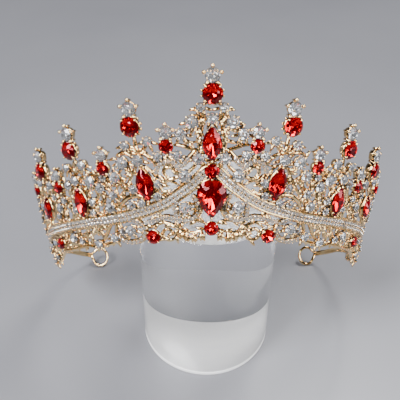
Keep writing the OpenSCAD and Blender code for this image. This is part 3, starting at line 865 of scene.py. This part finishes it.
bm = bmesh.new()
for angle, height, size in both_halves(FIELD + FINE):
    out, up = out_of_wall(angle), up_wall(angle)
    for step in range(SPRAY_LEAVES):
        along = turned_up(out, up, 180 + SPRAY_SPREAD * (step / (SPRAY_LEAVES - 1) - 0.5))
        root = wall_spot(angle, height, SPRAY_LIFT) + along * size * SPRAY_FOOT_SHARE
        set_leaf(bm, root, out, along, SPRAY_LENGTH)
make_smooth(bm)
make_piece("sprays", bm, [gilt], "gold_metal")

# Stones: moulded glass, ground with a flat table, a ring of facets round it and a pointed back.
# The back is painted with bright foil, so it throws the light out again through the facets.
GLASS_RED = (0.74, 0.004, 0.022, 1)
SHEEN_RED = (1.0, 0.34, 0.36, 1)
FOIL_REDS = ((0.82, 0.12, 0.18, 1), (0.95, 0.24, 0.28, 1))
FOIL_ROUGHNESS = 0.07
# Heights are shares of the stone's width. The table's width is a share of it too, and the facets
# that round off the table's corners start at a share of the table's.
TABLE_SHARE = 0.56
CROWN_SHARE = 0.2
GIRDLE_SHARE = 0.05
TABLE_FACET_SHARE = 0.93
# How much steeper the facets beside a main one are, in radians, in front and at the back.
BESIDE_SLOPE, BESIDE_UNDER = 0.045, 0.03
TABLE_FACET_SLOPE = 0.6
# A face that turns down by more than this is foiled.
BACK_TURN = -0.1
MAINS, MARQUISE_MAINS, PEAR_MAINS = 8, 10, 12
STONE_SIDES = 32


def grind(bm, turn, slope, reach, level, below=False):
    """Grinds one facet: its plane stands reach from the axis at this level, and slopes inwards."""
    down = -1 if below else 1
    out = Vector((math.cos(turn), math.sin(turn), 0))
    cut = bmesh.ops.bisect_plane(
        bm, geom=bm.verts[:] + bm.edges[:] + bm.faces[:], dist=1e-5, clear_outer=True,
        plane_co=out * reach + Vector((0, 0, level)),
        plane_no=out * math.sin(slope) + Vector((0, 0, down * math.cos(slope))),
    )["geom_cut"]
    edges = [part for part in cut if isinstance(part, bmesh.types.BMEdge)]
    if len(edges) > 2:
        bmesh.ops.holes_fill(bm, edges=edges, sides=0)


def cut_stone(name, outline, width, mains, rich=True):
    """A cut stone in mm with its girdle's foot at z = 0. Its back takes the second material."""
    outline = widened(outline, overhang(width))
    bm = bmesh.new()
    foot = bmesh.ops.create_circle(bm, cap_ends=True, segments=len(outline), radius=1)["verts"]
    for vert, (x, y) in zip(foot, outline):
        vert.co = (x, y, -BACK_SHARE * width)
    lid = bmesh.ops.extrude_face_region(bm, geom=bm.faces[:])["geom"]
    top = (GIRDLE_SHARE + CROWN_SHARE) * width
    for part in lid:
        if isinstance(part, bmesh.types.BMVert):
            part.co.z = top
    bmesh.ops.recalc_face_normals(bm, faces=bm.faces)

    def reach(turn):
        """How far the outline reaches from the axis in a direction."""
        return max(x * math.cos(turn) + y * math.sin(turn) for x, y in outline)

    step = 2 * math.pi / mains
    for k in range(mains):
        turn = k * step
        far = reach(turn)
        slope = math.atan2(CROWN_SHARE * width, (1 - TABLE_SHARE) * far)
        under = math.atan2(BACK_SHARE * width, far)
        grind(bm, turn, slope, far, GIRDLE_SHARE * width)
        grind(bm, turn, under, far, 0, below=True)
        if rich:
            for aside in (turn - step / 4, turn + step / 4):
                near = reach(aside)
                grind(bm, aside, slope + BESIDE_SLOPE, near, GIRDLE_SHARE * width)
                grind(bm, aside, under + BESIDE_UNDER, near, 0, below=True)
            middle = turn + step / 2
            near = reach(middle) * TABLE_SHARE * TABLE_FACET_SHARE
            grind(bm, middle, slope * TABLE_FACET_SLOPE, near, top)
    bmesh.ops.recalc_face_normals(bm, faces=bm.faces)
    for face in bm.faces:
        face.material_index = 1 if face.normal.z < BACK_TURN else 0
    return stored(name, bm)


def set_stone(bm, mesh, seat, width):
    """Sets a copy of a cut stone in its cup."""
    set_copy(bm, mesh, seat @ Matrix.Translation((0, 0, SEAT + BACK_SHARE * width)))


def glass(name, colour, index, clarity):
    """Polished glass. Clarity is the share of the light that goes through."""
    finish = new_finish(name, {"Base Color": colour, "Transmission Weight": clarity, "IOR": index})
    vary_roughness(finish, unevenness(finish, 700), 0.0, 0.02)
    return finish


def foil(name, colours, silvering):
    """The painted back. Silvering is the share of it that mirrors."""
    finish = new_finish(name, {"Metallic": silvering, "Roughness": FOIL_ROUGHNESS})
    vary_colour(finish, unevenness(finish, 500), colours)
    return finish


red_glass = glass("red_glass", GLASS_RED, index=1.5, clarity=0.97)
red_glass.node_tree.nodes["Principled BSDF"].inputs["Specular Tint"].default_value = SHEEN_RED
RED = ([red_glass, foil("red_foil", FOIL_REDS, silvering=1.0)], "red_stone")


def single_stone(node, mesh, seat, width, look):
    """Makes one stone a piece of its own, in place of its node. Look is its finishes and slot."""
    bm = bmesh.new()
    set_stone(bm, mesh, seat, width)
    piece = make_piece(node + "_cut", bm, *look)
    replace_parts(piece, node)


def hand(side):
    """The word for a side, as the crown is seen from the front."""
    return "left" if side < 0 else "right"


def cut_round(name, size, sides=STONE_SIDES):
    """A round cut stone."""
    return cut_stone(name, round_outline(size, sides), size, MAINS)


round_reds = {size: cut_round("round_red", size) for size in (BIG_RED, SPIRE_RED, LOWER_RED)}
pear_mesh = cut_stone("pear_mesh", pear_outline(*PEAR), PEAR_CUT, PEAR_MAINS)
middle_mesh = cut_stone("middle_marquise", marquise_outline(*MARQUISE), MARQUISE[0], MARQUISE_MAINS)

seat = seat_on_wall(0, PEAR_HEIGHT)
single_stone("red_pear", pear_mesh, seat, PEAR_CUT, RED)
for part, (height, size) in zip(("top", "upper", "lower"), MIDDLE_ROUNDS):
    seat = seat_on_wall(0, height)
    single_stone("red_round_" + part, round_reds[size], seat, size, RED)
seat = seat_on_wall(0, MIDDLE_MARQUISE)
single_stone("red_marquise_middle", middle_mesh, seat, MARQUISE[0], RED)
for number, (angle, height, width, length, tilt) in enumerate(MARQUISES, 1):
    outline = marquise_outline(width, length)
    mesh = cut_stone(f"marquise_{number}", outline, width, MARQUISE_MAINS)
    for side in HALVES:
        seat = seat_on_wall(side * angle, height, side * tilt)
        single_stone(f"red_marquise_{hand(side)}_{number}", mesh, seat, width, RED)
for number, (angle, height, size, _, _) in enumerate(SPIRES, 1):
    for side in HALVES:
        mesh, seat = round_reds[size], seat_on_wall(side * angle, height)
        single_stone(f"red_spire_{hand(side)}_{number}", mesh, seat, size, RED)
for number, (angle, height, size) in enumerate(LOW_ROUNDS, 1):
    mesh = cut_round(f"low_red_{number}", size)
    for side in HALVES:
        seat = seat_on_wall(side * angle, height)
        single_stone(f"red_low_{hand(side)}_{number}", mesh, seat, size, RED)

# Clear stones: the same cut in clear glass with a silver foil behind. One string tops the spires,
# and a field of larger and finer ones fills the openwork.
FIELD_SIDES = 16
GLASS_CLEAR = (0.97, 0.975, 0.985, 1)
FOIL_CLEARS = ((0.90, 0.91, 0.93, 1), (0.97, 0.97, 0.98, 1))
CLEAR_INDEX = 1.6

clear_foil = foil("clear_foil", FOIL_CLEARS, silvering=0.92)
clear_glass = glass("clear_glass", GLASS_CLEAR, CLEAR_INDEX, clarity=0.96)
CLEAR = ([clear_glass, clear_foil], "clear_stone")

height, size = MIDDLE_CLEAR
single_stone("clear_top", cut_round("top_clear", size), seat_on_wall(0, height), size, CLEAR)
spire_meshes = {size: cut_round("spire_clear", size) for size in (SPIRE_CLEAR, BIG_CLEAR)}
bm = bmesh.new()
for angle, _, _, height, size in both_halves(SPIRES):
    set_stone(bm, spire_meshes[size], seat_on_wall(angle, height), size)
spire_clears = make_piece("spire_clears", bm, *CLEAR)
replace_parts(spire_clears, "clear_spires")

field_meshes = {
    size: cut_round("field_clear", size, FIELD_SIDES)
    for size in sorted({row[2] for row in FIELD + FINE})
}


def fill_openwork(name, rows):
    """Sets the clear stones of a table as one piece."""
    bm = bmesh.new()
    for angle, height, size in both_halves(rows):
        set_stone(bm, field_meshes[size], seat_on_wall(angle, height), size)
    return make_piece(name, bm, *CLEAR)


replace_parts(fill_openwork("field_clears", FIELD), "clear_field")
fill_openwork("fine_clears", FINE)

# Small stones: two close rows between the band's rails, and single rows on the scrolls. They are
# simply cut from clear glass, and held by gilt grains raised from the metal between them.
SMALL = 1.45
SMALL_SIDES = 8
SMALL_PITCH = 1.75
ROW_OFFSET = 0.84
SMALL_SEAT = 0.75
STUD_SEAT = 0.85
GRAIN = 0.22
GRAIN_AHEAD = 0.8
GRAIN_ASIDE = 0.55
GRAIN_LIFT = 0.3
PAVED_TINT = (0.96, 0.9, 0.82, 1)
# Each row holds the points of a scroll, as angle and height.
STUDDED = (
    ((5.4, 37.0), (3.9, 34.6), (3.4, 31.4), (4.5, 28.4), (7.0, 26.8)),
    ((28.0, 20.2), (25.4, 18.1), (21.8, 18.0), (19.3, 20.2),
     (19.0, 23.6), (20.8, 26.2), (24.0, 27.2), (26.6, 26.2)),
    ((7.8, 46.0), (9.2, 48.8), (11.2, 49.7), (13.4, 48.5), (14.4, 45.4)),
    ((6.6, 26.8), (9.2, 27.6), (12.4, 28.3), (15.2, 27.2), (18.6, 26.0)),
    ((9.2, 34.9), (9.9, 32.2), (9.6, 29.2), (11.4, 27.2)),
    ((5.6, 51.2), (7.4, 48.2), (9.6, 47.4)),
)

paved_glass = glass("paved_glass", PAVED_TINT, CLEAR_INDEX, clarity=0.82)
small = cut_stone("small", round_outline(SMALL, SMALL_SIDES), SMALL, SMALL_SIDES, rich=False)
stones_bm, grains_bm = bmesh.new(), bmesh.new()
for side in HALVES:
    rows = [
        wall_run(BAND_LINE, side, -ROW_OFFSET, SMALL_SEAT),
        wall_run(BAND_LINE, side, ROW_OFFSET, SMALL_SEAT),
        *(wall_run(line, side, 0, STUD_SEAT) for line in STUDDED),
    ]
    for row in rows:
        for place, out, across, ahead in spaced(row, SMALL_PITCH):
            set_copy(stones_bm, small, set_axes(place, across, out.cross(across), out))
            between = place + ahead * GRAIN_AHEAD + out * GRAIN_LIFT
            for aside in (-GRAIN_ASIDE, GRAIN_ASIDE):
                bead(grains_bm, between + across * aside, GRAIN)
make_smooth(grains_bm)
make_piece("small_clears", stones_bm, [paved_glass, clear_foil], "clear_stone")
make_piece("grains", grains_bm, [gilt], "gold_metal")

# Ends of the crown: a plain flat band runs on from each end and bends inwards. The wire loop
# soldered across its tip takes a hair pin, and rests on the table. Both are gilt brass.
# Columns: beyond the ring's side, beyond its middle, height.
END_RUN = (
    (0.7, -5.4, 4.3), (0.8, 4.4, 4.5), (-1.0, 14.4, 4.1), (-5.1, 22.4, 2.1), (-9.8, 29.4, 0.3),
)
END_STEPS = 6
BAND_WIDTH, BAND_THICKNESS = 2.6, 1.2
BAND_SIDES = 12
LOOP_WIRE = 0.75
LOOP_SIDES = 10
LOOP_LENGTH, LOOP_WIDTH, LOOP_HEIGHT, LOOP_DROP = 9.2, 9.0, 10.4, 1.1
# Where the wire starts on the band's tip, beyond it and above its middle. It ends mirrored.
LOOP_FOOT = ((-0.9, 0.0), (0.1, 0.5))
LOOP_TURNS = range(138, -139, -12)


def run_along(places, out_of):
    """A run for rod(): the outward direction at each place comes from its heading."""
    run = []
    for i, place in enumerate(places):
        ahead = (places[min(i + 1, len(places) - 1)] - places[max(i - 1, 0)]).normalized()
        out = out_of(ahead).normalized()
        run.append((place, out, out.cross(ahead)))
    return run


bm = bmesh.new()
for side in HALVES:
    corners = [(side * (RING_RADIUS + x), RING_RADIUS + y, z) for x, y, z in END_RUN]
    inwards = Vector((-side * BAND_THICKNESS / 2, 0, 0))
    places = [place + inwards for place in smooth_line(corners, END_STEPS)]
    flat = run_along(places, lambda ahead: Vector((side * ahead.y, -side * ahead.x, 0)))
    rod(bm, flat, BAND_WIDTH, BAND_THICKNESS / 2, BAND_THICKNESS / 2, BAND_SIDES)
    across, tall = (LOOP_WIDTH - BAND_THICKNESS) / 2, (LOOP_HEIGHT - BAND_THICKNESS) / 2
    bow = [
        (LOOP_LENGTH - LOOP_WIDTH / 2 + across * math.cos(math.radians(turn)),
         tall * math.sin(math.radians(turn)) - LOOP_DROP)
        for turn in LOOP_TURNS
    ]
    outline = [*LOOP_FOOT, *bow, *((x, -z) for x, z in reversed(LOOP_FOOT))]
    loop = [places[-1] + Vector((-side * x, 0, z)) for x, z in outline]
    wire = run_along(loop, lambda ahead: Vector((0, 1, 0)))
    rod(bm, wire, 2 * LOOP_WIRE, LOOP_WIRE, LOOP_WIRE, LOOP_SIDES)
make_smooth(bm)
make_piece("ends", bm, [gilt], "gold_metal")

# Table top: a plain pale sheet that the object stands on. It is part of the stage, not of the
# object, so it is neither exported nor measured.
FLOOR_SIZE = 3.0
FLOOR_SHADES = ((0.165, 0.167, 0.186, 1), (0.181, 0.183, 0.202, 1))

pale_sheet = new_finish("pale_sheet", {"Roughness": 0.4})
vary_colour(pale_sheet, unevenness(pale_sheet, 6), FLOOR_SHADES)
bm = bmesh.new()
bmesh.ops.create_grid(bm, x_segments=1, y_segments=1, size=FLOOR_SIZE / 2)
mesh = stored("table_top", bm)
mesh.materials.append(pale_sheet)
table_top = added("table_top", mesh)

# Light: a plain soft studio. A large lamp high on the left, one on the right, one high in front
# and one above and behind.
# Columns: name, place, width, watts.
LAMPS = (
    ("key", (-0.45, -0.35, 0.8), 0.32, 19.5),
    ("fill", (0.65, -0.35, 0.45), 0.4, 7.5),
    ("front", (-0.3, -0.75, 0.65), 0.35, 7.5),
    ("back", (0.3, 0.4, 0.95), 0.35, 10.0),
)
AIM = Vector((0, 0, 0.09))
AMBIENT = (0.72, 0.75, 0.84, 1)
AMBIENT_STRENGTH = 0.05

for name, place, width, power in LAMPS:
    light = bpy.data.lights.new(name, "AREA")
    light.size = width
    light.energy = power
    lamp = added(name, light)
    lamp.location = place
    lamp.rotation_euler = (AIM - Vector(place)).to_track_quat("-Z", "Y").to_euler()
world = bpy.data.worlds.new("studio")
world.use_nodes = True
background = world.node_tree.nodes["Background"]
background.inputs["Color"].default_value = AMBIENT
background.inputs["Strength"].default_value = AMBIENT_STRENGTH
bpy.context.scene.world = world

# Camera: the photograph's view, from above and in front. It is worked out from the ellipses of
# the stand, then evened out over the places of the red stones.
CAMERA_PLACE = Vector((-0.00906, -0.1989, 0.2452))
CAMERA_DOWN = math.radians(39.66)
CAMERA_TURN = math.radians(-1.58)
CAMERA_ROLL = math.radians(-0.76)
FOCAL_PIXELS = 620.0
IMAGE_WIDTH = 400
SENSOR = 36.0

facing = Matrix.Rotation(CAMERA_TURN, 3, "Z")
forward = facing @ Vector((0, math.cos(CAMERA_DOWN), -math.sin(CAMERA_DOWN)))
down = facing @ Vector((0, -math.sin(CAMERA_DOWN), -math.cos(CAMERA_DOWN)))
right = facing @ Vector((1, 0, 0))
image_x = right * math.cos(CAMERA_ROLL) + down * math.sin(CAMERA_ROLL)
image_y = right * math.sin(CAMERA_ROLL) - down * math.cos(CAMERA_ROLL)
lens = bpy.data.cameras.new("camera")
lens.sensor_width = SENSOR
lens.lens = FOCAL_PIXELS / IMAGE_WIDTH * SENSOR
lens.clip_start = 0.01
camera = added("camera", lens)
turn = Matrix((image_x, image_y, -forward)).transposed().to_4x4()
camera.matrix_world = Matrix.Translation(CAMERA_PLACE) @ turn
bpy.context.scene.camera = camera
